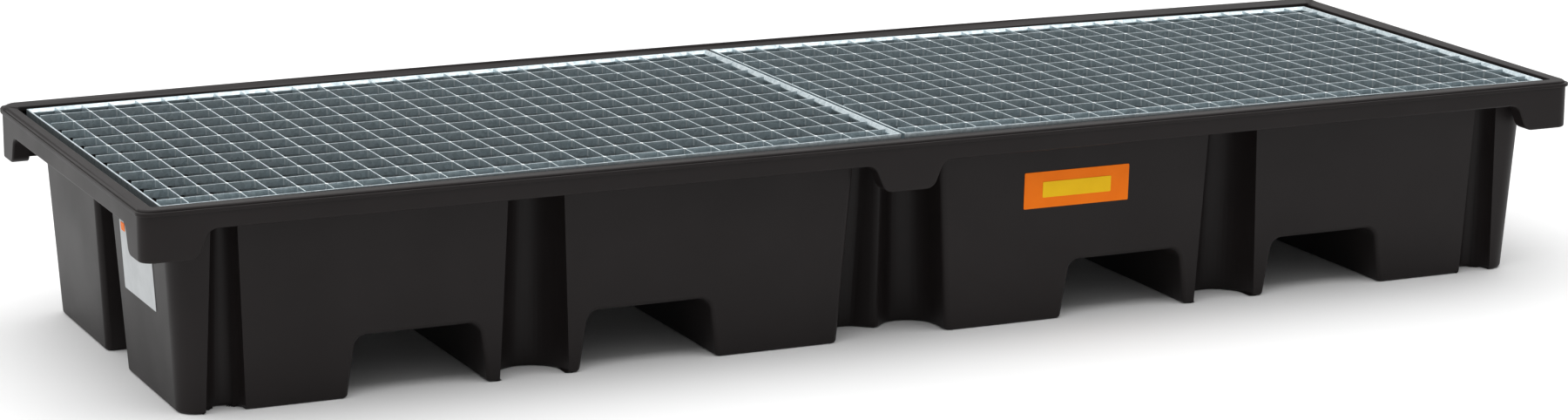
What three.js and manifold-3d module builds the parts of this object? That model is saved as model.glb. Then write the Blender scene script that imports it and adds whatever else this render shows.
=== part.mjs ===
// Spill containment pallet: a moulded polyethylene sump tub that carries two lift-out
// pressed steel gratings. Millimetres, +Z up. The origin is at the middle of the footprint
// on the floor, +X runs along the length and the labelled long side faces -Y.
import * as THREE from 'three';
import { mergeVertices } from 'three/addons/utils/BufferGeometryUtils.js';
import Module from 'manifold-3d';

// ---- driving dimensions -------------------------------------------------------------
const clearance = 0.3;             // gap between neighbouring pieces
const skin = 7;                    // wall thickness of the moulding

// tub walls, measured at the floor; every wall leans outwards on its way up
const footHalfLength = 1166;
const footHalfDepth = 352;
const endLean = 17;                // outward lean of the end walls up to the rim
const sideLean = 15;               // outward lean of the long walls up to the rim
const wallCornerRadius = 34;
const footEdgeRadius = 9;
const belowFloor = 1;              // cutters start this far under the floor

// rim: the wall steps out into a ledge, turns up as a skirt and folds in as a flat band
const rimHalfLength = 1236;
const rimHalfDepth = 412;
const rimUndersideZ = 294.5;
const rimTopZ = 330;
const rimCornerRadius = 22;
const skirtEdge = 2;               // chamfer along the lower edge of the skirt
const lipProud = 3;                // flat-topped lip round the skirt, under the shoulder
const lipLowZ = 320;
const lipHighZ = 326;
const lipEdge = 1;
const shoulderWidth = 5;
const bandWidth = 23.5;            // skirt face to the inner edge of the band
const bandCornerRadius = 6;

// the grating seat rises gently towards the middle of the tub
const seatEndZ = 298.7;
const seatCrown = 8;

// lugs that hang from the rim at the corners and the middle of the long sides
const lugUndersideZ = 250.5;
const lugThickness = 28;
const lugRootZ = rimUndersideZ + 3;
const lugRadius = 14;
const cornerLugX = { root: 1132, tip: 1150 };
const cornerLugY = { root: 326, tip: 341 };
const middleLugX = { root: 61, tip: 42 };

// fork pockets run through from front to back
const pocketHeight = 96;
const pocketLean = 14;             // each side leans in by this much up to the roof
const pocketRoofRadius = 17;
const pocketSpans = [[304, 533], [684, 908]];

// upright grooves moulded into the walls: place along the wall, half width at the
// floor and under the rim, depth, squareness of the outline and height of a rib inside
const cornerGroove = { at: 1098, foot: 31, top: 20, depth: 35, square: 2.2, rib: 0 };
const wideGroove = { at: 608, foot: 57, top: 45, depth: 70, square: 2.4, rib: 0 };
const middleGroove = { at: 0, foot: 96, top: 74, depth: 88, square: 3.2, rib: 30 };
const endGroove = { at: 0, foot: 59.5, top: 43.5, depth: 72, square: 3.4, rib: 0 };
const ribHalfWidth = 34;
const grooveReach = 120;           // a groove cutter starts this far outside the wall

// gratings
const gratingHalfDepth = 384;
const gratingOuterX = 1199;
const seamHalfGap = 3;
const barDepth = 30;
const bearingBarThickness = 2;
const bearingBarPitch = 44.44;
const bearingBarCount = 26;
const outerCellFraction = 1.02;    // width of the outermost cell, in bearing bar pitches
const crossBarThickness = 2;
const crossBarDepth = 12;
const crossBarPitch = 66.67;
const crossBarCount = 11;
const frontCellDepth = 41;
const edgeWidth = 8;               // the edge bars are channels that open inwards
const edgeWall = 3;
const edgeLipDrop = 5;             // their upper flange slopes down towards the bars

// labels
const labelThickness = 0.5;
const frontLabel = { x: 322, z: 219, width: 190, height: 60 };
const frontLabelBand = { width: 124, height: 26 };
const endLabel = { y: -179, z: 194, width: 168, height: 108 };
const endLabelPatch = { y: -114, z: 239.5, width: 20, height: 13 };

// ---- solids -------------------------------------------------------------------------
const wasm = await Module();
wasm.setup();

function toSolid(geometry) {
  const bare = geometry.clone();
  bare.deleteAttribute('normal');
  bare.deleteAttribute('uv');
  const merged = mergeVertices(bare, 1e-4);
  return new wasm.Manifold(new wasm.Mesh({
    numProp: 3,
    vertProperties: new Float32Array(merged.attributes.position.array),
    triVerts: new Uint32Array(merged.index.array),
  }));
}

function toGeometry(solid) {
  const mesh = solid.getMesh();
  const geometry = new THREE.BufferGeometry();
  geometry.setAttribute('position', new THREE.BufferAttribute(mesh.vertProperties, 3));
  geometry.setIndex(new THREE.BufferAttribute(mesh.triVerts, 1));
  return geometry;
}

// A closed solid through a stack of outlines, lowest first, that share a point count.
function loft(rings) {
  const count = rings[0].points.length;
  const positions = [];
  for (const ring of rings) {
    for (const point of ring.points) {
      positions.push(point.x, point.y, ring.z);
    }
  }
  const index = [];
  for (let level = 0; level + 1 < rings.length; level += 1) {
    for (let i = 0; i < count; i += 1) {
      const a = level * count + i;
      const b = level * count + (i + 1) % count;
      index.push(a, b, b + count, a, b + count, a + count);
    }
  }
  const last = (rings.length - 1) * count;
  const floor = THREE.ShapeUtils.triangulateShape(rings[0].points, []);
  const roof = THREE.ShapeUtils.triangulateShape(rings[rings.length - 1].points, []);
  for (const [a, b, c] of floor) {
    index.push(a, c, b);
  }
  for (const [a, b, c] of roof) {
    index.push(last + a, last + b, last + c);
  }
  const geometry = new THREE.BufferGeometry();
  geometry.setAttribute('position', new THREE.Float32BufferAttribute(positions, 3));
  geometry.setIndex(index);
  return geometry;
}

function roundedRectangle(halfX, halfY, radius) {
  const shape = new THREE.Shape();
  shape.moveTo(halfX, radius - halfY);
  shape.lineTo(halfX, halfY - radius);
  shape.absarc(halfX - radius, halfY - radius, radius, 0, Math.PI / 2);
  shape.lineTo(radius - halfX, halfY);
  shape.absarc(radius - halfX, halfY - radius, radius, Math.PI / 2, Math.PI);
  shape.lineTo(-halfX, radius - halfY);
  shape.absarc(radius - halfX, radius - halfY, radius, Math.PI, 1.5 * Math.PI);
  shape.lineTo(halfX - radius, -halfY);
  shape.absarc(halfX - radius, radius - halfY, radius, 1.5 * Math.PI, 2 * Math.PI);
  const arcSteps = 5;
  const points = shape.getPoints(arcSteps);
  return points.filter((point, i) => i === 0 || point.distanceTo(points[i - 1]) > 1e-6)
    .filter((point, i, list) => i < list.length - 1 || point.distanceTo(list[0]) > 1e-6);
}

// An outline drawn in X and Z, extruded along Y from one place to another.
function extrudeAlongY(shape, fromY, toY) {
  const steps = 4;
  const options = { depth: toY - fromY, bevelEnabled: false, curveSegments: steps };
  const geometry = new THREE.ExtrudeGeometry(shape, options);
  geometry.rotateX(Math.PI / 2);
  geometry.translate(0, toY, 0);
  return geometry;
}

// The same for an outline drawn in Y and Z, extruded along X.
function extrudeAlongX(shape, fromX, toX) {
  const geometry = extrudeAlongY(shape, -toX, -fromX);
  geometry.rotateZ(Math.PI / 2);
  return geometry;
}

// ---- tub ----------------------------------------------------------------------------
const leanAt = (z) => z / rimUndersideZ;

function wallRing(z, inset) {
  const halfX = footHalfLength + endLean * leanAt(z) - inset;
  const halfY = footHalfDepth + sideLean * leanAt(z) - inset;
  return { z, points: roundedRectangle(halfX, halfY, wallCornerRadius - inset) };
}

function rimRing(z, inset) {
  const radius = rimCornerRadius - inset;
  return { z, points: roundedRectangle(rimHalfLength - inset, rimHalfDepth - inset, radius) };
}

// Plan of a groove: a squared half ellipse, dented by a rib at its middle where it has one.
function grooveOutline(groove, halfWidth, grow) {
  const steps = 16;
  const width = halfWidth + grow;
  const depth = groove.depth + grow;
  const power = 2 / groove.square;
  const points = [new THREE.Vector2(-width, -grooveReach)];
  for (let i = 0; i <= steps; i += 1) {
    const angle = Math.PI * i / steps;
    const x = -width * Math.sign(Math.cos(angle)) * Math.abs(Math.cos(angle)) ** power;
    const bump = Math.abs(x) < ribHalfWidth ? 0.5 + 0.5 * Math.cos(Math.PI * x / ribHalfWidth) : 0;
    points.push(new THREE.Vector2(x, depth * Math.sin(angle) ** power - groove.rib * bump));
  }
  points.push(new THREE.Vector2(width, -grooveReach));
  return points.reverse();
}

// A groove cutter that stands at `wallY` and points along +Y before it is turned in place.
function grooveCutter(groove, wallY, lean, grow, topZ, turn) {
  const ring = (z) => {
    const halfWidth = THREE.MathUtils.lerp(groove.foot, groove.top, leanAt(z));
    const points = grooveOutline(groove, halfWidth, grow)
      .map((point) => new THREE.Vector2(point.x + groove.at, point.y - wallY - lean * leanAt(z)));
    return { z, points };
  };
  const geometry = loft([ring(-belowFloor), ring(topZ)]);
  geometry.rotateZ(turn);
  return toSolid(geometry);
}

function allGrooves(grow, topZ) {
  const cutters = [];
  for (const turn of [0, Math.PI]) {
    for (const groove of [cornerGroove, wideGroove]) {
      for (const at of [-groove.at, groove.at]) {
        cutters.push(grooveCutter({ ...groove, at }, footHalfDepth, sideLean, grow, topZ, turn));
      }
    }
    cutters.push(grooveCutter(middleGroove, footHalfDepth, sideLean, grow, topZ, turn));
    cutters.push(grooveCutter(endGroove, footHalfLength, endLean, grow, topZ, turn + Math.PI / 2));
  }
  return cutters;
}

function pocketCutter(lowX, highX, grow) {
  const roofZ = pocketHeight + grow;
  const low = lowX - grow;
  const high = highX + grow;
  const radius = pocketRoofRadius;
  const shape = new THREE.Shape();
  shape.moveTo(low, -belowFloor);
  shape.lineTo(high, -belowFloor);
  shape.lineTo(high - pocketLean * (1 - radius / roofZ), roofZ - radius);
  shape.quadraticCurveTo(high - pocketLean, roofZ, high - pocketLean - radius, roofZ);
  shape.lineTo(low + pocketLean + radius, roofZ);
  shape.quadraticCurveTo(low + pocketLean, roofZ, low + pocketLean * (1 - radius / roofZ), roofZ - radius);
  return toSolid(extrudeAlongY(shape, -rimHalfDepth, rimHalfDepth));
}

function allPockets(grow) {
  return pocketSpans.flatMap(([low, high]) => [
    pocketCutter(low, high, grow),
    pocketCutter(-high, -low, grow),
  ]);
}

// One lug outline: `root` wide at the rim and `tip` wide at its lower edge.
function lugShape(rootLow, tipLow, tipHigh, rootHigh) {
  const shape = new THREE.Shape();
  shape.moveTo(rootLow, lugRootZ);
  shape.quadraticCurveTo(tipLow, lugUndersideZ, tipLow + lugRadius, lugUndersideZ);
  shape.lineTo(tipHigh - lugRadius, lugUndersideZ);
  shape.quadraticCurveTo(tipHigh, lugUndersideZ, rootHigh, lugRootZ);
  return shape;
}

function rimLugs() {
  const outer = toSolid(loft([rimRing(0, 0), rimRing(rimTopZ, 0)]));
  const frontY = -rimHalfDepth;
  const lugs = [];
  const middle = lugShape(-middleLugX.root, -middleLugX.tip, middleLugX.tip, middleLugX.root);
  lugs.push(extrudeAlongY(middle, frontY, frontY + lugThickness));
  const { root, tip } = cornerLugX;
  const past = rimHalfLength;
  const right = lugShape(root, tip, past, past);
  lugs.push(extrudeAlongY(right, frontY, frontY + lugThickness));
  const left = lugShape(-past, -past, -tip, -root);
  lugs.push(extrudeAlongY(left, frontY, frontY + lugThickness));
  const front = lugShape(-rimHalfDepth, -rimHalfDepth, -cornerLugY.tip, -cornerLugY.root);
  lugs.push(extrudeAlongX(front, rimHalfLength - lugThickness, rimHalfLength));
  lugs.push(extrudeAlongX(front, -rimHalfLength, lugThickness - rimHalfLength));
  const oneSide = lugs.map(toSolid).reduce((all, lug) => all.add(lug));
  return oneSide.add(oneSide.rotate([0, 0, 180])).intersect(outer);
}

function rimSolid() {
  return toSolid(loft([
    rimRing(rimUndersideZ, skirtEdge),
    rimRing(rimUndersideZ + skirtEdge, 0),
    rimRing(lipLowZ, 0),
    rimRing(lipLowZ + lipEdge, -lipProud),
    rimRing(lipHighZ - lipEdge, -lipProud),
    rimRing(lipHighZ, lipEdge - lipProud),
    rimRing(lipHighZ, lipEdge),
    rimRing(rimTopZ - lipEdge, shoulderWidth * 0.6),
    rimRing(rimTopZ, shoulderWidth),
  ]));
}

// The room above the seat, closed below by the gently crowned seat itself.
function seatRoom() {
  const room = toSolid(loft([rimRing(lugUndersideZ, skin), rimRing(rimTopZ - skin, skin)]));
  const fall = seatCrown / gratingOuterX;
  const reach = rimHalfLength + lipProud;
  const bed = new THREE.Shape();
  bed.moveTo(-reach, 0);
  bed.lineTo(reach, 0);
  bed.lineTo(reach, seatEndZ + seatCrown - fall * reach);
  bed.lineTo(0, seatEndZ + seatCrown);
  bed.lineTo(-reach, seatEndZ + seatCrown - fall * reach);
  return room.subtract(toSolid(extrudeAlongY(bed, -reach, reach)));
}

function bandOpening() {
  const halfX = rimHalfLength - bandWidth;
  const halfY = rimHalfDepth - bandWidth;
  const points = roundedRectangle(halfX, halfY, bandCornerRadius);
  return toSolid(loft([{ z: seatEndZ + seatCrown, points }, { z: rimTopZ + skin, points }]));
}

function tubSolid() {
  const basinTopZ = seatEndZ + seatCrown + skin;
  let outside = toSolid(loft([
    wallRing(0, footEdgeRadius * 0.8),
    wallRing(footEdgeRadius * 0.3, footEdgeRadius * 0.3),
    wallRing(footEdgeRadius, 0),
    wallRing(rimUndersideZ + skirtEdge, 0),
  ]));
  for (const cutter of [...allGrooves(0, rimUndersideZ), ...allPockets(0)]) {
    outside = outside.subtract(cutter);
  }
  outside = outside.add(rimSolid()).add(rimLugs());
  let hollow = toSolid(loft([wallRing(skin, skin), wallRing(basinTopZ, skin)]));
  for (const cutter of [...allGrooves(skin, basinTopZ + skin), ...allPockets(skin)]) {
    hollow = hollow.subtract(cutter);
  }
  return outside.subtract(hollow.add(seatRoom()).add(bandOpening()));
}

// ---- gratings -----------------------------------------------------------------------
// A grating is drawn with its outer end at x = 0 and its seam end at x = length, its top
// face at z = 0, and is then set on the seat with the crown's slope.
const gratingLength = gratingOuterX - seamHalfGap;

function edgeChannel() {
  const shape = new THREE.Shape();
  shape.moveTo(0, -barDepth);
  shape.lineTo(edgeWidth, -barDepth);
  shape.lineTo(edgeWidth, edgeWall - barDepth);
  shape.lineTo(edgeWall, edgeWall - barDepth);
  shape.lineTo(edgeWall, -edgeWall);
  shape.lineTo(edgeWidth, -edgeWall - edgeLipDrop);
  shape.lineTo(edgeWidth, -edgeLipDrop);
  shape.lineTo(edgeWall, 0);
  shape.lineTo(0, 0);
  return shape;
}

// Edge bars that run across the tub, at the outer end and at the seam.
function endEdgeBar(turned) {
  const geometry = extrudeAlongY(edgeChannel(), -gratingHalfDepth, gratingHalfDepth);
  if (turned) {
    geometry.rotateZ(Math.PI);
    geometry.translate(gratingLength, 0, 0);
  }
  return geometry;
}

// Edge bars that run along the tub, between the two end edge bars.
function sideEdgeBar(back) {
  const low = edgeWidth + clearance;
  const high = gratingLength - edgeWidth - clearance;
  const geometry = extrudeAlongX(edgeChannel(), back ? -high : low, back ? -low : high);
  geometry.translate(0, -gratingHalfDepth, 0);
  if (back) {
    geometry.rotateZ(Math.PI);
  }
  return geometry;
}

const crossBarPlaces = Array.from({ length: crossBarCount }, (_, i) => (
  frontCellDepth - gratingHalfDepth + i * crossBarPitch
));

// Side view of a bearing bar, with an open slot from above for each cross bar.
function bearingBarShape() {
  const slotHalfWidth = crossBarThickness / 2 + clearance;
  const slotDepth = crossBarDepth + clearance;
  const frontY = edgeWall / 2 - gratingHalfDepth;
  const backY = gratingHalfDepth - edgeWidth - clearance;
  const shape = new THREE.Shape();
  shape.moveTo(backY, 0);
  shape.lineTo(backY, -barDepth);
  shape.lineTo(frontY, -barDepth);
  shape.lineTo(frontY, 0);
  for (const place of crossBarPlaces) {
    shape.lineTo(place - slotHalfWidth, 0);
    shape.lineTo(place - slotHalfWidth, -slotDepth);
    shape.lineTo(place + slotHalfWidth, -slotDepth);
    shape.lineTo(place + slotHalfWidth, 0);
  }
  return shape;
}

// The bearing bars, welded to the front edge bar.
function bearingComb() {
  const halfThickness = bearingBarThickness / 2;
  const bar = toSolid(extrudeAlongX(bearingBarShape(), -halfThickness, halfThickness));
  const firstX = outerCellFraction * bearingBarPitch;
  let comb = toSolid(sideEdgeBar(false));
  for (let i = 0; i < bearingBarCount; i += 1) {
    comb = comb.add(bar.translate([firstX + i * bearingBarPitch, 0, 0]));
  }
  return toGeometry(comb);
}

function crossBar() {
  const length = gratingLength - 2 * (edgeWidth + clearance);
  const geometry = new THREE.BoxGeometry(length, crossBarThickness, crossBarDepth);
  geometry.translate(gratingLength / 2, 0, -crossBarDepth / 2);
  return geometry;
}

// ---- assembly -----------------------------------------------------------------------
const black = { color: 0x2b2829, roughness: 0.5, metalness: 0 };
const zinc = { color: 0x9aa6ab, roughness: 0.45, metalness: 0.9 };
const orange = { color: 0xf07f13, roughness: 0.4, metalness: 0 };
const yellow = { color: 0xf7c52d, roughness: 0.4, metalness: 0 };
const white = { color: 0xdedfe0, roughness: 0.4, metalness: 0 };

function namedMesh(name, geometry, finish) {
  const mesh = new THREE.Mesh(geometry, new THREE.MeshStandardMaterial(finish));
  mesh.name = name;
  return mesh;
}

// `side` is -1 for the left grating and +1 for the right one, its mirror image.
function grating(name, side) {
  const group = new THREE.Group();
  const place = (piece, geometry, y = 0) => {
    const shaped = side < 0 ? geometry : mirrored(geometry);
    const mesh = namedMesh(`${name}_${piece}`, shaped, zinc);
    mesh.position.y = y;
    group.add(mesh);
  };
  place('bearing_bars', bearingComb());
  place('back_edge_bar', sideEdgeBar(true));
  place('outer_edge_bar', endEdgeBar(false));
  place('seam_edge_bar', endEdgeBar(true));
  crossBarPlaces.forEach((y, i) => {
    place(`cross_bar_${String(i + 1).padStart(2, '0')}`, crossBar(), y);
  });
  const slope = Math.atan(seatCrown / gratingOuterX);
  group.position.set(side * gratingOuterX, 0, seatEndZ + clearance + barDepth);
  group.rotation.y = side * slope;
  return group;
}

// A mirror image across the YZ plane; the triangles are turned so they still face out.
function mirrored(geometry) {
  const flipped = geometry.clone();
  flipped.scale(-1, 1, 1);
  if (!flipped.index) {
    const order = Array.from({ length: flipped.attributes.position.count }, (_, i) => i);
    flipped.setIndex(order);
  }
  const { array } = flipped.index;
  for (let i = 0; i < array.length; i += 3) {
    [array[i], array[i + 1]] = [array[i + 1], array[i]];
  }
  return flipped;
}

// Labels lie on the leaning walls, a hair in front of the surface.
function frontPanelPiece(name, spec, layer, finish) {
  const geometry = new THREE.BoxGeometry(spec.width, labelThickness, spec.height);
  const mesh = namedMesh(name, geometry, finish);
  const tilt = Math.atan(sideLean / rimUndersideZ);
  const stand = clearance + labelThickness / 2 + layer * (clearance + labelThickness);
  mesh.position.set(spec.x, -(footHalfDepth + sideLean * leanAt(spec.z)) - stand, spec.z);
  mesh.rotation.x = tilt;
  return mesh;
}

function endPanelPiece(name, spec, layer, finish) {
  const geometry = new THREE.BoxGeometry(labelThickness, spec.width, spec.height);
  const mesh = namedMesh(name, geometry, finish);
  const tilt = Math.atan(endLean / rimUndersideZ);
  const stand = clearance + labelThickness / 2 + layer * (clearance + labelThickness);
  mesh.position.set(-(footHalfLength + endLean * leanAt(spec.z)) - stand, spec.y, spec.z);
  mesh.rotation.y = -tilt;
  return mesh;
}

const pallet = new THREE.Group();
pallet.name = 'spill_pallet';
pallet.add(namedMesh('tub', toGeometry(tubSolid()), black));
pallet.add(grating('grating_left', -1));
pallet.add(grating('grating_right', 1));
pallet.add(frontPanelPiece('front_label', frontLabel, 0, orange));
const bandOnLabel = { ...frontLabelBand, x: frontLabel.x, z: frontLabel.z };
pallet.add(frontPanelPiece('front_label_band', bandOnLabel, 1, yellow));
pallet.add(endPanelPiece('end_label', endLabel, 0, white));
pallet.add(endPanelPiece('end_label_patch', endLabelPatch, 1, orange));

export default pallet;
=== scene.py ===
# %% [markdown]
# # A spill containment pallet
# A low tub of black polyethylene catches what leaks from the drums and cans that stand on it.
# Two galvanised steel gratings lie in its rim and carry the load. The tub is moulded in one
# piece, with fork pockets under it, upright grooves that stiffen its walls and lugs under its rim.
# This lesson starts from the measured frame, then models, one after the other, the tub, the
# gratings and the labels, and ends with the finishes, the light and the camera.

# %% Load the frame
import math
from contextlib import contextmanager

import bmesh
import bpy
from mathutils import Matrix, Vector


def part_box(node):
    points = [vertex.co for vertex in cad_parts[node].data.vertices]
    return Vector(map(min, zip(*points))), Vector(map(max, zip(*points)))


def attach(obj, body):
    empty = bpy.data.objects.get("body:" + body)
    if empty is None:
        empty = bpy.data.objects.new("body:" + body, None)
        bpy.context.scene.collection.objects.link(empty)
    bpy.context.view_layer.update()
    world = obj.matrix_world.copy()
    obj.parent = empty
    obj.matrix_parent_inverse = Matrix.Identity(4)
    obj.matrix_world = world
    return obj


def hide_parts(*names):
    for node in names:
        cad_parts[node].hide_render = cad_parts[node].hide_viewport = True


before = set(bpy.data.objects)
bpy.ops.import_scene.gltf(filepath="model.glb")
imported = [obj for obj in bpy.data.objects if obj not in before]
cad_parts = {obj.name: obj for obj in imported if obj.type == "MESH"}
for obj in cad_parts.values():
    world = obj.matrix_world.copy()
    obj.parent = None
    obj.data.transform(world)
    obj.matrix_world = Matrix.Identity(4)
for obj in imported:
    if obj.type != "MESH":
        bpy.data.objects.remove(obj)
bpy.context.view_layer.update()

# %% [markdown]
# ## The main sizes
# The rim is the widest part of the tub, so its size comes straight from the frame. The walls
# start under it, a ledge's width further in, and lean in towards the floor so that the tub
# leaves its mould easily. Everything else hangs on these few values.

# %% Sizes of the tub
skin = 0.007
lip_proud = 0.003
skirt_height = 0.0355
tub_low, tub_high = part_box("tub")
rim_half = Vector((tub_high.x - lip_proud, tub_high.y - lip_proud))
rim_top = tub_high.z
rim_underside = rim_top - skirt_height
rim_corner_radius = 0.022
ledge = Vector((0.053, 0.045))
lean = Vector((0.017, 0.015))
wall_corner_radius = 0.034


def wall_half(z):
    """Half the length and half the depth of the walls' outside at a height."""
    return rim_half - ledge - lean * (1 - z / rim_underside)


print("rim", [round(2 * half, 3) for half in rim_half])
print("foot", [round(2 * half, 3) for half in wall_half(0)])

# %% [markdown]
# ## A few tools
# Every piece starts as a primitive and is shaped in edit mode. These helpers pick a piece, open
# it for editing, select its faces, edges or corners by where they are, and cut or join whole
# solids. Cutting with solids is how the mould itself is thought out: each groove and pocket of
# the tub is the print of a solid that stands in the mould.

# %% Pick and edit a piece
mostly = 0.9
hair = 0.0001


def take(piece):
    """Makes a piece the only selected one."""
    bpy.ops.object.select_all(action="DESELECT")
    piece.select_set(True)
    bpy.context.view_layer.objects.active = piece


@contextmanager
def editing(piece, kind):
    """Opens a piece in edit mode, with nothing selected, to work on its VERT, EDGE or FACE."""
    take(piece)
    bpy.ops.object.mode_set(mode="EDIT")
    bpy.ops.mesh.select_mode(type=kind)
    bpy.ops.mesh.select_all(action="DESELECT")
    yield
    bpy.ops.object.mode_set(mode="OBJECT")


def choose(piece, kind, test):
    """In edit mode, selects the verts, edges or faces that pass a test and says how many did."""
    shape = bmesh.from_edit_mesh(piece.data)
    shape.normal_update()
    chosen = [one for one in getattr(shape, kind) if test(one)]
    for one in chosen:
        one.select = True
    shape.select_flush_mode()
    bmesh.update_edit_mesh(piece.data)
    return len(chosen)


def middle_of(edge):
    """The point halfway along an edge."""
    return (edge.verts[0].co + edge.verts[1].co) / 2


def is_upright(edge):
    """True for an edge that stands up."""
    run = edge.verts[1].co - edge.verts[0].co
    return abs(run.z) > mostly * run.length


def looks(face, way):
    """True for a face that looks a way."""
    return face.normal.dot(Vector(way)) > mostly


def is_sharp(edge, angle=math.radians(35)):
    """True for an edge whose two faces meet at more than an angle."""
    return len(edge.link_faces) == 2 and edge.calc_face_angle() > angle


# %% Add a box and round what is selected
def add_box(name, low, high):
    """A box between two corners, with its place in its mesh."""
    low, high = Vector(low), Vector(high)
    bpy.ops.object.select_all(action="DESELECT")
    bpy.ops.mesh.primitive_cube_add(size=1, location=(low + high) / 2, scale=high - low)
    box = bpy.context.object
    box.name = name
    box.data.name = name
    bpy.ops.object.transform_apply(location=True, rotation=True, scale=True)
    return box


def round_off(radius, segments=4):
    """Rounds the selected edges."""
    bpy.ops.mesh.bevel(offset_type="OFFSET", offset=radius, segments=segments,
                       affect="EDGES", clamp_overlap=False)


def shift(x=0.0, y=0.0, z=0.0):
    """Moves what is selected."""
    bpy.ops.transform.translate(value=(x, y, z))


def spread(x, y, centre=(0, 0, 0)):
    """Scales what is selected in plan about a centre."""
    bpy.ops.transform.resize(value=(x, y, 1), center_override=centre)


def draw_out(x=0.0, y=0.0, z=0.0):
    """Extrudes the selected face."""
    bpy.ops.mesh.extrude_region_move(TRANSFORM_OT_translate={"value": (x, y, z)})


def cut_across(place, normal=(1, 0, 0)):
    """Cuts what is selected with a plane, and keeps both sides."""
    bpy.ops.mesh.bisect(plane_co=place, plane_no=normal)


def quarter_round(steps):
    """How far a quarter round of radius 1 has risen and bent after each of its steps."""
    angles = [math.pi / 2 * step / steps for step in range(1, steps + 1)]
    return [(math.sin(angle), 1 - math.cos(angle)) for angle in angles]


def raise_along(section, half):
    """Extrudes the selected top face along a section of heights and ways out from its half size."""
    height, out = 0.0, 0.0
    for next_height, next_out in section:
        draw_out(z=next_height - height)
        spread((half.x + next_out) / (half.x + out), (half.y + next_out) / (half.y + out))
        height, out = next_height, next_out


# %% Cut, join and smooth
def carve(piece, cutters, how="DIFFERENCE"):
    """Cuts the cutters out of a piece, or joins them to it, and removes them."""
    for cutter in cutters:
        step = piece.modifiers.new("carve", "BOOLEAN")
        step.operation = how
        step.solver = "MANIFOLD"
        step.object = cutter
        take(piece)
        bpy.ops.object.modifier_apply(modifier=step.name)
        bpy.data.objects.remove(cutter)


def turned(piece, angle):
    """Turns a piece about the upright axis and keeps its place in its mesh."""
    piece.rotation_euler.z = angle
    take(piece)
    bpy.ops.object.transform_apply(location=True, rotation=True, scale=True)
    return piece


def smooth(piece, angle=math.radians(30)):
    """Shades the rounded edges smooth and keeps the flats between them flat."""
    take(piece)
    bpy.ops.object.shade_smooth_by_angle(angle=angle)
    weigh = piece.modifiers.new("weigh", "WEIGHTED_NORMAL")
    weigh.keep_sharp = True
    bpy.ops.object.modifier_apply(modifier=weigh.name)
    print(piece.name, "has", len(piece.data.polygons), "faces")


# %% [markdown]
# ## The walls
# The outside of the tub is one block with rounded corners that widens towards the rim, and the
# room inside it is the same block, smaller by the thickness of the wall. One function makes
# both: the room's grooves and pockets are cut with solids that are larger by that thickness,
# so the wall is equally thick all over, as a moulded skin is.

# %% Grooves in the walls
under_floor = 0.005
past_wall = 0.12
groove_sides = 48

corner_groove = {"at": 1.098, "foot": 0.031, "head": 0.020, "depth": 0.035, "corner": 0, "rib": 0}
wide_groove = {"at": 0.608, "foot": 0.057, "head": 0.045, "depth": 0.070, "corner": 0, "rib": 0}
middle_groove = {"at": 0, "foot": 0.096, "head": 0.074, "depth": 0.088, "corner": 0.046, "rib": 0.030}
end_groove = {"at": 0, "foot": 0.0595, "head": 0.0435, "depth": 0.072, "corner": 0.040, "rib": 0}
rib_half_width = 0.034
rib_radius = rib_half_width / 5
rib_zone = 1.1 * rib_half_width


def round_groove_solid(groove, wall, grow, top_z):
    """A round groove is cut with an oval post that stands in the wall."""
    height = top_z + under_floor
    bpy.ops.object.select_all(action="DESELECT")
    bpy.ops.mesh.primitive_cylinder_add(
        vertices=groove_sides, radius=1, depth=height,
        location=(groove["at"], -wall, height / 2 - under_floor),
        scale=(groove["foot"] + grow, groove["depth"] + grow, 1))
    post = bpy.context.object
    bpy.ops.object.transform_apply(location=True, rotation=True, scale=True)
    return post


def wave_rib(block, groove, inner_y):
    """Bulges a soft upright rib out of the middle of a block's inner face."""
    places = [step * rib_half_width / 2 for step in (-2, -1, 0, 1, 2)]
    with editing(block, "EDGE"):
        for place in places:
            bpy.ops.mesh.select_all(action="SELECT")
            cut_across((place, 0, 0))
    for place in places:
        height = groove["rib"] * (0.5 + 0.5 * math.cos(math.pi * place / rib_half_width))
        with editing(block, "VERT"):
            choose(block, "verts",
                   lambda v: abs(v.co.x - place) < hair and abs(v.co.y - inner_y) < hair)
            shift(y=-height)
    with editing(block, "EDGE"):
        choose(block, "edges", lambda e: is_upright(e) and abs(middle_of(e).x) < rib_zone
               and middle_of(e).y > inner_y - groove["rib"] - hair)
        round_off(rib_radius, 2)


def square_groove_solid(groove, wall, grow, top_z):
    """A square groove is cut with a block whose inner corners are rounded."""
    half = groove["foot"] + grow
    inner_y = groove["depth"] + grow - wall
    block = add_box("groove", (groove["at"] - half, -wall - past_wall, -under_floor),
                    (groove["at"] + half, inner_y, top_z))
    with editing(block, "EDGE"):
        choose(block, "edges", lambda e: is_upright(e) and abs(middle_of(e).y - inner_y) < hair)
        round_off(groove["corner"] + grow, 8)
    if groove["rib"]:
        wave_rib(block, groove, inner_y)
    return block


def groove_solid(groove, axis, turn, grow, top_z):
    """The solid that cuts one groove. Its head is narrower than its foot and leans with the wall."""
    make = square_groove_solid if groove["corner"] else round_groove_solid
    solid = make(groove, wall_half(-under_floor)[axis], grow, top_z)
    narrowing = (groove["head"] + grow) / (groove["foot"] + grow)
    with editing(solid, "VERT"):
        choose(solid, "verts", lambda v: v.co.z > top_z / 2)
        spread(narrowing, 1, centre=(groove["at"], 0, 0))
        shift(y=-lean[axis] * (top_z + under_floor) / rim_underside)
    return turned(solid, turn)


def mirrored_place(groove):
    """The same groove on the other side of the middle."""
    return {**groove, "at": -groove["at"]}


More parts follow.
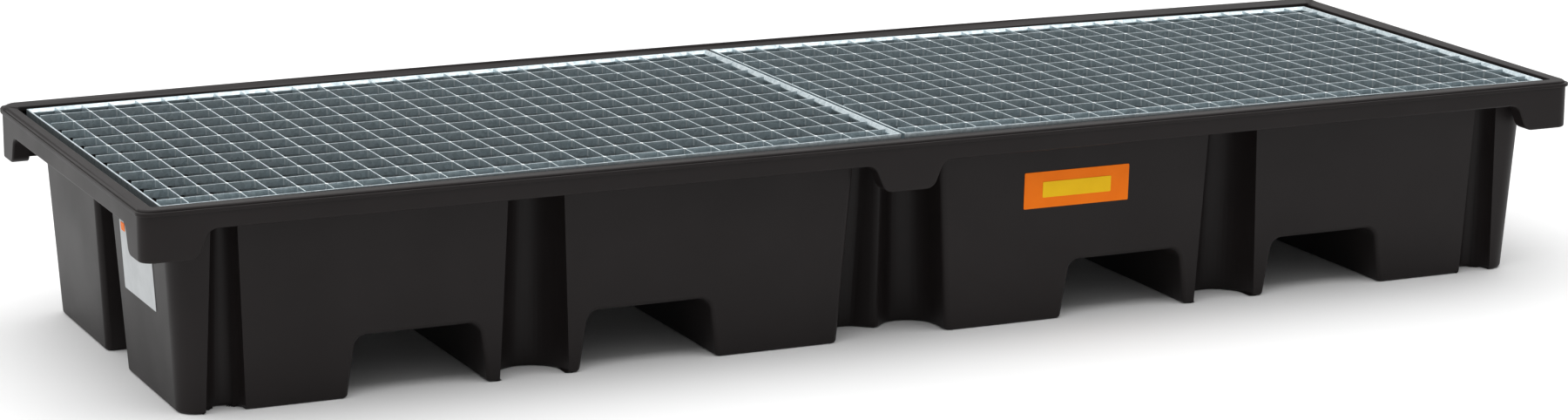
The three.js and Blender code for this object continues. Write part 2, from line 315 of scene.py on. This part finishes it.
def all_groove_solids(grow, top_z):
    """The solids of every groove, on both long sides and both ends."""
    solids = []
    for turn in (0, math.pi):
        for groove in (corner_groove, wide_groove):
            solids.append(groove_solid(groove, 1, turn, grow, top_z))
            solids.append(groove_solid(mirrored_place(groove), 1, turn, grow, top_z))
        solids.append(groove_solid(middle_groove, 1, turn, grow, top_z))
        solids.append(groove_solid(end_groove, 0, turn + math.pi / 2, grow, top_z))
    return solids


# %% Fork pockets
pocket_height = 0.096
pocket_lean = 0.014
pocket_roof_radius = 0.017
inner_pocket = (0.304, 0.533)
outer_pocket = (0.684, 0.908)


def pocket_solid(low_x, high_x, grow):
    """The solid that cuts one fork pocket from front to back. Its sides lean in to its roof."""
    reach = rim_half.y
    roof = pocket_height + grow
    step_in = pocket_lean * (roof + under_floor) / pocket_height
    below = pocket_lean * under_floor / pocket_height
    solid = add_box("pocket", (low_x - grow - below, -reach, -under_floor),
                    (high_x + grow + below, reach, roof))
    centre_x = (low_x + high_x) / 2
    half = (high_x - low_x) / 2 + grow + below
    with editing(solid, "VERT"):
        choose(solid, "verts", lambda v: v.co.z > roof / 2)
        spread((half - step_in) / half, 1, centre=(centre_x, 0, 0))
    with editing(solid, "EDGE"):
        choose(solid, "edges", lambda e: middle_of(e).z > roof - hair and abs(middle_of(e).y) < hair)
        round_off(pocket_roof_radius + grow, 6)
    return solid


def all_pocket_solids(grow):
    """The solids of the four pockets."""
    solids = []
    for low_x, high_x in (inner_pocket, outer_pocket):
        solids.append(pocket_solid(low_x, high_x, grow))
        solids.append(pocket_solid(-high_x, -low_x, grow))
    return solids


# %% The block of the walls
corner_segments = 8


def walled_block(name, inset, low_z, top_z):
    """The outline of the walls as a solid with its grooves, smaller all round by an inset."""
    foot = wall_half(low_z) - Vector((inset, inset))
    head = wall_half(top_z) - Vector((inset, inset))
    block = add_box(name, (-foot.x, -foot.y, low_z), (foot.x, foot.y, top_z))
    with editing(block, "EDGE"):
        choose(block, "edges", is_upright)
        round_off(wall_corner_radius - inset, corner_segments)
    with editing(block, "VERT"):
        choose(block, "verts", lambda v: v.co.z > (low_z + top_z) / 2)
        spread(head.x / foot.x, head.y / foot.y)
    carve(block, all_groove_solids(inset, top_z + under_floor))
    return block


# %% [markdown]
# A moulded skin has no sharp edge, so each kind of edge is rounded as soon as it is cut, while it
# is still simple to find: first the mouths of the grooves, then the mouths of the pockets, and
# last the edges that stand on the floor. The feet between a pocket and a wide groove are thin,
# so the two radii that meet on them are together narrower than a foot.

# %% The outside of the walls
pocket_mouth_radius = 0.007
groove_mouth_radius = 0.010
floor_edge_radius = 0.005
touching = 0.0004


def wall_gap(point):
    """How far inside the walls' outer faces a point lies."""
    half = wall_half(point.z)
    return min(half.x - abs(point.x), half.y - abs(point.y))


def on_wall(edge):
    """True for an edge that lies in an outer face of the walls."""
    return all(abs(wall_gap(corner.co)) < touching for corner in edge.verts)


walls = walled_block("tub_shell", 0, 0, rim_underside + touching)
with editing(walls, "EDGE"):
    edges = choose(walls, "edges", lambda e: is_upright(e) and is_sharp(e) and on_wall(e))
    round_off(groove_mouth_radius)
print("groove edges rounded:", edges)

carve(walls, all_pocket_solids(0))
with editing(walls, "EDGE"):
    mouths = choose(walls, "edges", lambda e: on_wall(e) and is_sharp(e)
                    and touching < middle_of(e).z < pocket_height + touching)
    round_off(pocket_mouth_radius)
with editing(walls, "EDGE"):
    feet = choose(walls, "edges",
                  lambda e: is_sharp(e) and all(abs(c.co.z) < touching for c in e.verts))
    round_off(floor_edge_radius)
print("pocket edges rounded:", mouths, "and floor edges:", feet)

# %% [markdown]
# ## The rim and its lugs
# The rim is a skirt that turns up outside the walls, with a thin lip round it, and folds in as a
# flat band. Lugs hang from it at the corners and at the middle of the long sides. The rim starts
# as one slab as tall as the lugs. Windows are cut through it from front to back and from end to
# end, so that what is left of its lower part are the lugs.

# %% Windows between the lugs
lug_height = 0.044
lug_thickness = 0.028
lug_bottom = rim_underside - lug_height
lug_radius = 0.012
corner_lug_front = {"root": 1.132, "tip": 1.150}
corner_lug_end = {"root": 0.326, "tip": 0.341}
middle_lug = {"root": 0.061, "tip": 0.042}
flange = 0.03


def window_solid(low, high, low_root, high_root, reach):
    """The solid of a window. It runs along Y, is narrower at the rim and opens out round below."""
    window = add_box("window", (low, -reach, lug_bottom), (high, reach, rim_underside))
    for side, root in ((low, low_root), (high, high_root)):
        with editing(window, "VERT"):
            choose(window, "verts",
                   lambda v: abs(v.co.x - side) < hair and v.co.z > rim_underside - hair)
            shift(x=root - side)
    middle = (low + high) / 2
    widen = (high - low + 2 * flange) / (high - low)
    with editing(window, "FACE"):
        choose(window, "faces", lambda f: looks(f, (0, 0, -1)))
        draw_out()
        spread(widen, 1, centre=(middle, 0, 0))
        draw_out(z=-flange)
    with editing(window, "EDGE"):
        choose(window, "edges", lambda e: abs(middle_of(e).y) < hair and (
            abs(middle_of(e).z - rim_underside) < hair
            or min(abs(middle_of(e).x - low), abs(middle_of(e).x - high)) < hair))
        round_off(lug_radius, 5)
    return window


front_reach = rim_half.y + flange
end_reach = rim_half.x + flange
left_window = window_solid(-corner_lug_front["tip"], -middle_lug["tip"],
                           -corner_lug_front["root"], -middle_lug["root"], front_reach)
right_window = window_solid(middle_lug["tip"], corner_lug_front["tip"],
                            middle_lug["root"], corner_lug_front["root"], front_reach)
end_window = window_solid(-corner_lug_end["tip"], corner_lug_end["tip"],
                          -corner_lug_end["root"], corner_lug_end["root"], end_reach)
turned(end_window, math.pi / 2)

behind = rim_half - Vector((lug_thickness, lug_thickness))
behind_lugs = add_box("behind_lugs", (-behind.x, -behind.y, lug_bottom - flange),
                      (behind.x, behind.y, rim_underside))
with editing(behind_lugs, "EDGE"):
    choose(behind_lugs, "edges", is_upright)
    round_off(lug_radius)

# %% The skirt and lugs
lip_low = rim_top - 0.010
skirt_edge_radius = 0.0035


def rim_gap(point):
    """How far inside the skirt's outer face a point lies."""
    over_x = abs(point.x) - (rim_half.x - rim_corner_radius)
    over_y = abs(point.y) - (rim_half.y - rim_corner_radius)
    if over_x > 0 and over_y > 0:
        return rim_corner_radius - math.hypot(over_x, over_y)
    return rim_corner_radius - max(over_x, over_y)


def on_skirt(edge):
    """True for an edge that lies in the skirt's outer face."""
    return all(abs(rim_gap(corner.co)) < touching for corner in edge.verts)


rim = add_box("rim", (-rim_half.x, -rim_half.y, lug_bottom), (rim_half.x, rim_half.y, lip_low))
with editing(rim, "EDGE"):
    choose(rim, "edges", is_upright)
    round_off(rim_corner_radius, corner_segments)
carve(rim, [left_window, right_window, end_window, behind_lugs])
with editing(rim, "EDGE"):
    lower = choose(rim, "edges", lambda e: is_sharp(e) and on_skirt(e)
                   and middle_of(e).z < rim_underside + touching)
    round_off(skirt_edge_radius)
print("lower edges of the skirt and lugs rounded:", lower)

# %% [markdown]
# The lip and the shoulder above it run right round, so they are raised from the slab's top face:
# it is extruded a little and spread or drawn in, again and again, along the rim's section. The
# lip has a narrow flat top that catches the light, and the steep shoulder above it stays dark.

# %% The lip and the shoulder
lip_height = 0.006
lip_edge = 0.001
shoulder_foot = -0.001
shoulder_width = 0.004
shoulder_rise = rim_top - lip_low - lip_height
round_steps = 4

lip_root = [(0.0003, 0.0024), (0.0012, lip_proud)]

section = lip_root + [(lip_height - lip_edge, lip_proud)]
section += [(lip_height - lip_edge * (1 - risen), lip_proud - lip_edge * bent)
            for risen, bent in quarter_round(round_steps)]
section.append((lip_height, shoulder_foot))
section += [(lip_height + shoulder_rise * risen, shoulder_foot - shoulder_width * bent)
            for risen, bent in quarter_round(round_steps)]

with editing(rim, "FACE"):
    choose(rim, "faces",
           lambda f: looks(f, (0, 0, 1)) and f.calc_center_median().z > lip_low - touching)
    raise_along(section, rim_half)
carve(walls, [rim], how="UNION")
print("the rim's top is at", round(max(v.co.z for v in walls.data.vertices), 4), "m")

# %% [markdown]
# ## The room inside
# What is cut out of the solid tub is its room: the basin between the walls, the space over the
# ledge where the gratings lie, and the opening in the flat band. The ledge rises gently towards
# the middle of the tub, so the gratings meet there at a low crown.

# %% Basin, seat and opening
seat_end = 0.2987
seat_crown = 0.008
band_width = 0.0235
opening_radius = 0.006
band_edge_radius = 0.0015
flare_steps = 3

basin = walled_block("basin", skin, skin, seat_end + seat_crown + skin / 2)
carve(basin, all_pocket_solids(skin))

seat = add_box("seat", (skin - rim_half.x, skin - rim_half.y, seat_end),
               (rim_half.x - skin, rim_half.y - skin, rim_top - skin))
with editing(seat, "EDGE"):
    choose(seat, "edges", is_upright)
    round_off(rim_corner_radius - skin, corner_segments)
with editing(seat, "EDGE"):
    bpy.ops.mesh.select_all(action="SELECT")
    cut_across((0, 0, 0))
with editing(seat, "VERT"):
    choose(seat, "verts", lambda v: abs(v.co.x) < hair and v.co.z < seat_end + hair)
    shift(z=seat_crown)

opening_half = rim_half - Vector((band_width, band_width))
opening = add_box("opening", (-opening_half.x, -opening_half.y, seat_end + seat_crown),
                  (opening_half.x, opening_half.y, rim_top - band_edge_radius))
with editing(opening, "EDGE"):
    choose(opening, "edges", is_upright)
    round_off(opening_radius, 5)
with editing(opening, "FACE"):
    choose(opening, "faces", lambda f: looks(f, (0, 0, 1)))
    flare = [(band_edge_radius * risen, band_edge_radius * bent)
             for risen, bent in quarter_round(flare_steps)]
    raise_along(flare + [(2 * band_edge_radius, band_edge_radius)], opening_half)

carve(walls, [basin, seat, opening])
print("the hollow tub has", len(walls.data.polygons), "faces")

# %% [markdown]
# A moulding this long never cools quite straight. Here the band along the back stands a little
# higher than the one in front, most of all near its middle, and tips towards the gratings. So
# the back of the rim is cut across at even steps, and its corners are raised by a displacement
# whose weight follows a shallow arch.

# %% Raise the back of the rim
tub = walls
merge_distance = 0.00001
with editing(tub, "VERT"):
    bpy.ops.mesh.select_all(action="SELECT")
    bpy.ops.mesh.remove_doubles(threshold=merge_distance)

band_inner_y = rim_half.y - band_width
arch_steps = 12
arch_middle = 0.013
arch_left, arch_right = 0.0065, 0.009
inner_share = 0.35


def in_back_rim(point):
    """True for a point of the lip or the band along the back."""
    return point.y > band_inner_y - touching and point.z > lip_low - touching


def lift(point):
    """How far a point of the back rim is raised, as a share of the arch's height."""
    along = point.x / rim_half.x
    drop = arch_middle - (arch_left + arch_right) / 2
    height = arch_middle - drop * along ** 2 + (arch_right - arch_left) / 2 * along
    outward = min((point.y - band_inner_y) / (band_width - shoulder_width), 1)
    return (inner_share + (1 - inner_share) * outward) * height / arch_middle


for step in range(1, arch_steps):
    with editing(tub, "FACE"):
        choose(tub, "faces", lambda f: in_back_rim(f.calc_center_median()))
        cut_across((rim_half.x * (2 * step / arch_steps - 1), 0, 0))
weight = tub.vertex_groups.new(name="lift")
for corner in tub.data.vertices:
    if in_back_rim(corner.co):
        weight.add([corner.index], lift(corner.co), "REPLACE")
raised = tub.modifiers.new("raised", "DISPLACE")
raised.direction = "Z"
raised.strength = arch_middle
raised.mid_level = 0
raised.vertex_group = weight.name
take(tub)
bpy.ops.object.modifier_apply(modifier=raised.name)
print("the top of the tub is now at", round(max(v.co.z for v in tub.data.vertices), 4), "m")

# %% Finish the tub
smooth(tub)
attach(tub, "pallet")
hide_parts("tub")

# %% [markdown]
# ## The gratings
# A pressed grating is a comb of thin upright bearing bars. Thinner cross bars are pressed into
# slots in them, and an edge bar closes each side. Then the whole grating is dipped in molten zinc,
# which leaves a small bead in the corner of every crossing. Each kind of bar is modelled once,
# lying flat with its top face at zero height, and copied. The outer end is at the origin, and the
# finished grating is then tipped to the slope of its seat and put in place.

# %% Sizes of a grating
grating_half_depth = 0.384
grating_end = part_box("grating_right_outer_edge_bar")[1].x
seam_gap = 0.006
grating_length = grating_end - seam_gap / 2
bar_depth = 0.030
bar_thickness = 0.002
bearing_pitch = 0.04444
bearing_count = 26
first_bearing = 1.02 * bearing_pitch
cross_pitch = 0.06667
cross_count = 11
cross_depth = 0.012
first_cross = 0.041 - grating_half_depth
edge_width = 0.008
edge_wall = 0.003
edge_lip_drop = 0.005
lapped = 0.0001
bar_edge = 0.0003
slope = math.atan(seat_crown / grating_end)
channel_edge = 0.0004
seat_clearance = 0.0003

bearing_places = [first_bearing + i * bearing_pitch for i in range(bearing_count)]
cross_places = [first_cross + i * cross_pitch for i in range(cross_count)]
print("the last cell before the seam is", round(grating_length - bearing_places[-1], 4), "m wide")


# %% Copy, join and seat
def copy_to(piece, x=0.0, y=0.0):
    """A copy of a piece with its own mesh, moved in plan."""
    twin = piece.copy()
    twin.data = piece.data.copy()
    twin.data.transform(Matrix.Translation((x, y, 0)))
    bpy.context.scene.collection.objects.link(twin)
    return twin


def join(name, parts):
    """Several parts as one piece."""
    take(parts[0])
    for part in parts:
        part.select_set(True)
    bpy.ops.object.join()
    parts[0].name = name
    parts[0].data.name = name
    return parts[0]


def soften(piece, width):
    """Takes the sharpness off all of a bar's edges."""
    edge = piece.modifiers.new("soften", "BEVEL")
    edge.width = width
    edge.segments = 2
    edge.limit_method = "ANGLE"
    take(piece)
    bpy.ops.object.modifier_apply(modifier=edge.name)


def lay_in_seat(piece, side):
    """Tips a flat piece to the slope of the seat and puts it in place. Left is -1 and right is 1."""
    piece.location = (side * grating_end, 0, seat_end + seat_clearance + bar_depth)
    piece.rotation_euler.y = side * slope
    take(piece)
    bpy.ops.object.transform_apply(location=True, rotation=True, scale=True)


# %% [markdown]
# A bearing bar has a slot from above for each cross bar. The slots are cut with one row of small
# boxes, and the bar's edges are softened, because hot zinc never leaves a sharp edge.

# %% Bearing bars
def bearing_bars(side):
    """All bearing bars of one grating, lying flat."""
    half = bar_thickness / 2
    front = edge_width - bar_edge - grating_half_depth
    back = grating_half_depth - edge_width + bar_edge
    bar = add_box("bar", (-half, front, -bar_depth), (half, back, 0))
    slots = []
    for y in cross_places:
        slot_half = half + seat_clearance
        slots.append(add_box("slot", (-edge_width, y - slot_half, -cross_depth),
                             (edge_width, y + slot_half, half)))
    carve(bar, slots)
    soften(bar, bar_edge)
    parts = [copy_to(bar, x=-side * place) for place in bearing_places]
    bpy.data.objects.remove(bar)
    return join("bars", parts)


# %% Cross bars
def cross_bars(side):
    """All cross bars of one grating, lying flat."""
    half = bar_thickness / 2
    reach = edge_width - bar_edge
    inner, outer = -side * reach, -side * (grating_length - reach)
    bar = add_box("bar", (min(inner, outer), -half, -cross_depth), (max(inner, outer), half, 0))
    soften(bar, bar_edge)
    parts = [copy_to(bar, y=place) for place in cross_places]
    bpy.data.objects.remove(bar)
    return join("bars", parts)


# %% [markdown]
# The edge bars are rolled channels whose open side faces the bars. A box gives the outside. Its
# inner face is inset by the wall and pushed in, which leaves the hollow between two lips. The
# inner edges of the upper lip are then drawn down, so that it slopes and shines like a bevel.

# %% Edge bars
def edge_bar(name, low, high, inward):
    """One edge bar between two corners in plan. Its channel opens in the direction `inward`."""
    bar = add_box(name, (low[0], low[1], -bar_depth), (high[0], high[1], 0))
    hollow = edge_wall - edge_width
    with editing(bar, "FACE"):
        choose(bar, "faces", lambda f: looks(f, (*inward, 0)))
        bpy.ops.mesh.inset(thickness=edge_wall, use_outset=False)
        draw_out(hollow * inward[0], hollow * inward[1])
    web = max(v.co.xy.dot(inward) for v in bar.data.vertices) + hollow
    with editing(bar, "EDGE"):
        bpy.ops.mesh.select_all(action="SELECT")
        cut_across((web * inward[0], web * inward[1], 0), (*inward, 0))
    with editing(bar, "VERT"):
        choose(bar, "verts",
               lambda v: v.co.xy.dot(inward) > web + hair and v.co.z > -bar_depth / 2)
        shift(z=-edge_lip_drop)
    soften(bar, channel_edge)
    return bar


def end_edge_bar(side, u, inward_sign):
    """An edge bar across the grating, `u` from the outer end."""
    x = sorted((-side * u, -side * (u + inward_sign * edge_width)))
    inward = Vector((-side * inward_sign, 0))
    return edge_bar("bar", (x[0], -grating_half_depth), (x[1], grating_half_depth), inward)


def side_edge_bar(side, y, inward_sign):
    """An edge bar along the grating, lapped a hair under the two across it."""
    inset = edge_wall / 2
    x = sorted((-side * inset, -side * (grating_length - inset)))
    ys = sorted((y, y + inward_sign * edge_width))
    bar = edge_bar("bar", (x[0], ys[0]), (x[1], ys[1]), Vector((0, inward_sign)))
    bar.data.transform(Matrix.Translation((0, inward_sign * lapped, -lapped)))
    return bar


# %% [markdown]
# The zinc beads are what makes the grid sparkle at its crossings. A bead is a low eight-sided
# post round the crossing, as deep as the cross bar and domed on top. There are hundreds of them,
# so each has only a few faces.

# %% Zinc beads
bead_radius = 0.0030
bead_dome = 0.0004
bead_top_share = 0.6
bead_foot_share = 0.35


def one_bead(name):
    """A bead round one crossing. It is domed on top and runs out to a drop below."""
    bpy.ops.object.select_all(action="DESELECT")
    bpy.ops.mesh.primitive_cylinder_add(vertices=8, radius=bead_radius, depth=cross_depth,
                                        location=(0, 0, -cross_depth / 2))
    bead = bpy.context.object
    bead.name = name
    bpy.ops.object.transform_apply(location=True, rotation=True, scale=True)
    with editing(bead, "FACE"):
        choose(bead, "faces", lambda f: looks(f, (0, 0, 1)))
        draw_out(z=bead_dome)
        spread(bead_top_share, bead_top_share)
    with editing(bead, "FACE"):
        choose(bead, "faces", lambda f: looks(f, (0, 0, -1)))
        draw_out(z=-bead_radius)
        spread(bead_foot_share, bead_foot_share)
    return bead


def zinc_beads(side):
    """The beads of one grating, lying flat."""
    bead = one_bead("bead")
    parts = [copy_to(bead, -side * x, y) for x in bearing_places for y in cross_places]
    bpy.data.objects.remove(bead)
    return join("beads", parts)


# %% Both gratings
def finish_bar(piece, name, side, body, nodes):
    """Seats a piece of a grating and says what it stands for."""
    lay_in_seat(piece, side)
    piece.name = name
    piece.data.name = name
    smooth(piece)
    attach(piece, body)
    if nodes:
        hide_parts(*nodes)
    return piece


def grating(label, side):
    """One whole grating."""
    body = f"grating_{label}"
    front, back = -grating_half_depth, grating_half_depth

    def done(piece, kind, *nodes):
        return finish_bar(piece, f"{label}_{kind}", side, body, [f"{body}_{node}" for node in nodes])

    cross_nodes = [f"cross_bar_{i + 1:02d}" for i in range(cross_count)]
    return [
        done(bearing_bars(side), "bearing_bars", "bearing_bars"),
        done(side_edge_bar(side, front, 1), "front_edge_bar", "bearing_bars"),
        done(side_edge_bar(side, back, -1), "back_edge_bar", "back_edge_bar"),
        done(end_edge_bar(side, 0, 1), "outer_edge_bar", "outer_edge_bar"),
        done(end_edge_bar(side, grating_length, -1), "seam_edge_bar", "seam_edge_bar"),
        done(cross_bars(side), "cross_bars", *cross_nodes),
        done(zinc_beads(side), "zinc_beads"),
    ]


steel_pieces = grating("left", -1) + grating("right", 1)
print(len(steel_pieces), "pieces of steel")

# %% [markdown]
# ## The labels
# Two printed films lie on the walls: a plain orange one with a yellow band on the front, and a
# pale one with a small orange patch on the left end. Each is a thin plate with slightly rounded
# corners, tilted like the wall behind it. Its place is the middle of the node that it replaces.

# %% Make a label
label_thickness = 0.0005
label_corner = 0.002


def label(name, node, width, height, axis, slot_name):
    """A film on a wall. Axis 1 is the front wall and axis 0 is the left end wall."""
    low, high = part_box(node)
    half_t = label_thickness / 2
    plate = add_box(name, (-width / 2, -half_t, -height / 2), (width / 2, half_t, height / 2))
    with editing(plate, "EDGE"):
        choose(plate, "edges", lambda e: abs(middle_of(e).y) < hair)
        round_off(label_corner)
    with editing(plate, "FACE"):
        choose(plate, "faces", lambda f: looks(f, (0, -1, 0)))
        bpy.ops.mesh.inset(thickness=label_thickness / 2)
        shift(y=-label_thickness / 5)
    tilt = math.atan(lean[axis] / rim_underside)
    turn = 0 if axis == 1 else -math.pi / 2
    plate.location = (low + high) / 2
    plate.rotation_euler = (Matrix.Rotation(turn, 3, "Z") @ Matrix.Rotation(tilt, 3, "X")).to_euler()
    take(plate)
    bpy.ops.object.transform_apply(location=True, rotation=True, scale=True)
    smooth(plate)
    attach(plate, "pallet")
    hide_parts(node)
    return plate


orange_film = label("front_film", "front_label", 0.190, 0.060, 1, "label_orange")
yellow_band = label("front_film_band", "front_label_band", 0.124, 0.026, 1, "label_yellow")
white_film = label("end_film", "end_label", 0.168, 0.108, 0, "label_white")
orange_patch = label("end_film_patch", "end_label_patch", 0.020, 0.013, 0, "label_orange")

# %% [markdown]
# ## Finishes
# Each finish is made from noise on the piece's own coordinates, so it has no picture behind it and
# stays in place when a grating is lifted. A small helper starts a finish and gives the tools to
# add nodes to it.

# %% Start a finish
def new_finish(name):
    """A new material with its shader and a way to add and link nodes."""
    finish = bpy.data.materials.new(name)
    finish.use_nodes = True
    tree = finish.node_tree
    shader = tree.nodes["Principled BSDF"]
    place = tree.nodes.new("ShaderNodeTexCoord").outputs["Object"]

    def noise(scale, detail, stretch=(1, 1, 1)):
        """Noise from 0 to 1 whose lumps are about one over `scale` metres wide."""
        mapping = tree.nodes.new("ShaderNodeMapping")
        mapping.inputs["Scale"].default_value = stretch
        texture = tree.nodes.new("ShaderNodeTexNoise")
        texture.inputs["Scale"].default_value = scale
        texture.inputs["Detail"].default_value = detail
        tree.links.new(place, mapping.inputs["Vector"])
        tree.links.new(mapping.outputs["Vector"], texture.inputs["Vector"])
        return texture.outputs["Fac"]

    def between(value, low, high, start=0.3, end=0.7):
        """Turns noise into a number between two values."""
        reach = tree.nodes.new("ShaderNodeMapRange")
        reach.inputs["From Min"].default_value = start
        reach.inputs["From Max"].default_value = end
        reach.inputs["To Min"].default_value = low
        reach.inputs["To Max"].default_value = high
        tree.links.new(value, reach.inputs["Value"])
        return reach.outputs["Result"]

    def tint(value, dark, light, start=0.3, end=0.7):
        """Turns noise into a colour between two colours."""
        ramp = tree.nodes.new("ShaderNodeValToRGB")
        ramp.color_ramp.elements[0].position = start
        ramp.color_ramp.elements[0].color = (*dark, 1)
        ramp.color_ramp.elements[1].position = end
        ramp.color_ramp.elements[1].color = (*light, 1)
        tree.links.new(value, ramp.inputs["Fac"])
        return ramp.outputs["Color"]

    def bump(value, height, below=None):
        """Raises the surface where the noise is high, on top of another bump."""
        relief = tree.nodes.new("ShaderNodeBump")
        relief.inputs["Strength"].default_value = 1
        relief.inputs["Distance"].default_value = height
        tree.links.new(value, relief.inputs["Height"])
        if below:
            tree.links.new(below, relief.inputs["Normal"])
        return relief.outputs["Normal"]

    tools = {"tree": tree, "shader": shader, "place": place, "noise": noise,
             "between": between, "tint": tint, "bump": bump}
    return finish, tools


def wear_finish(finish, pieces):
    """Gives pieces one finish."""
    for piece in pieces:
        piece.data.materials.clear()
        piece.data.materials.append(finish)
    print(finish.name, "is on", [piece.name for piece in pieces])


# %% [markdown]
# ### Black polyethylene
# Rotationally moulded polyethylene is nearly black and satin. The powder that it is made from
# leaves a fine grain, the slow cooling leaves broad shallow waves, and the shade varies in soft
# clouds. So one noise gives the clouds, one the grain and one the waves.

# %% Black polyethylene
def black_polyethylene():
    """The tub's finish."""
    finish, t = new_finish("black_polyethylene")
    link = t["tree"].links.new
    shader = t["shader"]
    deep_black, worn_black = (0.0112, 0.0088, 0.0086), (0.0142, 0.0114, 0.0112)
    clouds = t["noise"](7, 5)
    link(t["tint"](clouds, deep_black, worn_black), shader.inputs["Base Color"])
    link(t["between"](t["noise"](8, 3), 0.43, 0.49), shader.inputs["Roughness"])
    shader.inputs["Specular IOR Level"].default_value = 0.18
    waves = t["bump"](t["noise"](6, 1), 0.0002)
    grain = t["bump"](t["noise"](700, 2), 0.00002, waves)
    link(grain, shader.inputs["Normal"])
    return finish


wear_finish(black_polyethylene(), [tub])


# %% [markdown]
# ### Galvanised steel
# Zinc crystallises as it cools, so its grey is broken into patches a few millimetres wide, some
# duller than others, and thin runs of zinc leave it slightly uneven. Cells of a Voronoi texture
# give the crystals, and noise drawn out downwards gives the runs. The beads in the corners get a
# lighter copy of the same zinc than the bars, a painted highlight that stands in for their glint.

# %% Galvanised steel
def galvanised_steel(name, dull, bright):
    """A zinc finish whose crystals lie between a dull and a bright grey."""
    finish, t = new_finish(name)
    link = t["tree"].links.new
    shader = t["shader"]
    crystals = t["tree"].nodes.new("ShaderNodeTexVoronoi")
    crystals.inputs["Scale"].default_value = 160
    link(t["place"], crystals.inputs["Vector"])
    mix = t["tree"].nodes.new("ShaderNodeMix")
    mix.inputs["Factor"].default_value = 0.45
    link(t["noise"](70, 4), mix.inputs["A"])
    link(crystals.outputs["Color"], mix.inputs["B"])
    patches = mix.outputs["Result"]
    link(t["tint"](patches, dull, bright, 0.2, 0.8), shader.inputs["Base Color"])
    link(t["between"](patches, 0.46, 0.30, 0.2, 0.8), shader.inputs["Roughness"])
    shader.inputs["Metallic"].default_value = 0.9
    runs = t["bump"](t["noise"](220, 3, (1, 1, 0.3)), 0.00010)
    link(runs, shader.inputs["Normal"])
    return finish


beads = [piece for piece in steel_pieces if piece.name.endswith("zinc_beads")]
bars = [piece for piece in steel_pieces if piece not in beads]
wear_finish(galvanised_steel("galvanised_steel", (0.36, 0.43, 0.46), (0.72, 0.80, 0.83)), bars)
# The beads get a lighter grey than the bars: a painted highlight for the glint at the crossings.
wear_finish(galvanised_steel("bead_zinc_painted_highlight", (0.78, 0.84, 0.86), (0.92, 0.95, 0.96)), beads)


# %% [markdown]
# ### Label films
# A printed film is smooth with a faint orange peel. Its ink is even, with only a trace of cloud.

# %% Label films
def label_film(name, dark, light):
    """A printed film in a colour that varies only slightly."""
    finish, t = new_finish(name)
    link = t["tree"].links.new
    shader = t["shader"]
    link(t["tint"](t["noise"](30, 3), dark, light), shader.inputs["Base Color"])
    link(t["between"](t["noise"](90, 4), 0.42, 0.52), shader.inputs["Roughness"])
    shader.inputs["Specular IOR Level"].default_value = 0.12
    link(t["bump"](t["noise"](400, 2), 0.00002), shader.inputs["Normal"])
    return finish


wear_finish(label_film("label_orange", (0.92, 0.18, 0.003), (0.96, 0.20, 0.005)),
            [orange_film, orange_patch])
wear_finish(label_film("label_yellow", (0.90, 0.53, 0.008), (0.94, 0.57, 0.010)), [yellow_band])
wear_finish(label_film("label_white", (0.50, 0.52, 0.53), (0.56, 0.58, 0.59)), [white_film])

# %% [markdown]
# ## Floor, light and camera
# The pallet stands on a pale floor. Most light comes from a wide lamp overhead, as from a white
# ceiling, and a dim white sky fills the shadows. A bright wall behind shines back from the lip of
# the rim and the tops of the bars, and a weak window on the left lights the left end.

# %% Floor
below_feet = 0.0005
bpy.ops.object.select_all(action="DESELECT")
bpy.ops.mesh.primitive_plane_add(size=60, location=(0, 0, -below_feet))
floor = bpy.context.object
floor.name = "studio_floor"
floor_finish, floor_tools = new_finish("studio_floor")
floor_link = floor_tools["tree"].links.new
floor_link(floor_tools["tint"](floor_tools["noise"](2, 2), (0.86, 0.86, 0.86), (0.88, 0.88, 0.88)),
           floor_tools["shader"].inputs["Base Color"])
floor_tools["shader"].inputs["Roughness"].default_value = 0.9
floor_tools["shader"].inputs["Specular IOR Level"].default_value = 0.1
wear_finish(floor_finish, [floor])


# %% Light
def soft_lamp(name, place, target, width, height, power):
    """A rectangular lamp that faces a target."""
    lamp = bpy.data.lights.new(name, "AREA")
    lamp.shape = "RECTANGLE"
    lamp.size = width
    lamp.size_y = height
    lamp.energy = power
    holder = bpy.data.objects.new(name, lamp)
    bpy.context.scene.collection.objects.link(holder)
    holder.location = place
    holder.rotation_euler = (Vector(target) - Vector(place)).to_track_quat("-Z", "Y").to_euler()
    print(name, "gives", power, "watts")


sky_strength = 0.46
sky = bpy.data.worlds.new("studio_sky")
sky.use_nodes = True
sky.node_tree.nodes["Background"].inputs["Color"].default_value = (1, 1, 1, 1)
sky.node_tree.nodes["Background"].inputs["Strength"].default_value = sky_strength
bpy.context.scene.world = sky
soft_lamp("ceiling", (0, 1.0, 5.0), (0, 1.0, 0), width=14.0, height=10.0, power=700)
soft_lamp("white_wall_behind", (0.5, 6.5, 1.6), (0, 0, 0.4), width=13.0, height=3.0, power=85)
soft_lamp("window_left", (-5.5, 0.5, 2.4), (0, 0, 0.2), width=4.0, height=2.5, power=15)
bpy.context.scene.view_settings.view_transform = "Standard"

# %% Camera
lens = 94.96
sensor = 36.0
camera_turn = math.radians(-24.5)
camera_dip = math.radians(12.92)
camera_roll = math.radians(0.23)
camera_place = Vector((-2.79812, -6.07573, 1.6674))

camera_data = bpy.data.cameras.new("camera")
camera_data.lens = lens
camera_data.sensor_width = sensor
camera = bpy.data.objects.new("camera", camera_data)
bpy.context.scene.collection.objects.link(camera)
camera.matrix_world = (Matrix.Translation(camera_place) @ Matrix.Rotation(camera_turn, 4, "Z")
                       @ Matrix.Rotation(math.pi / 2 - camera_dip, 4, "X")
                       @ Matrix.Rotation(camera_roll, 4, "Z"))
bpy.context.scene.camera = camera
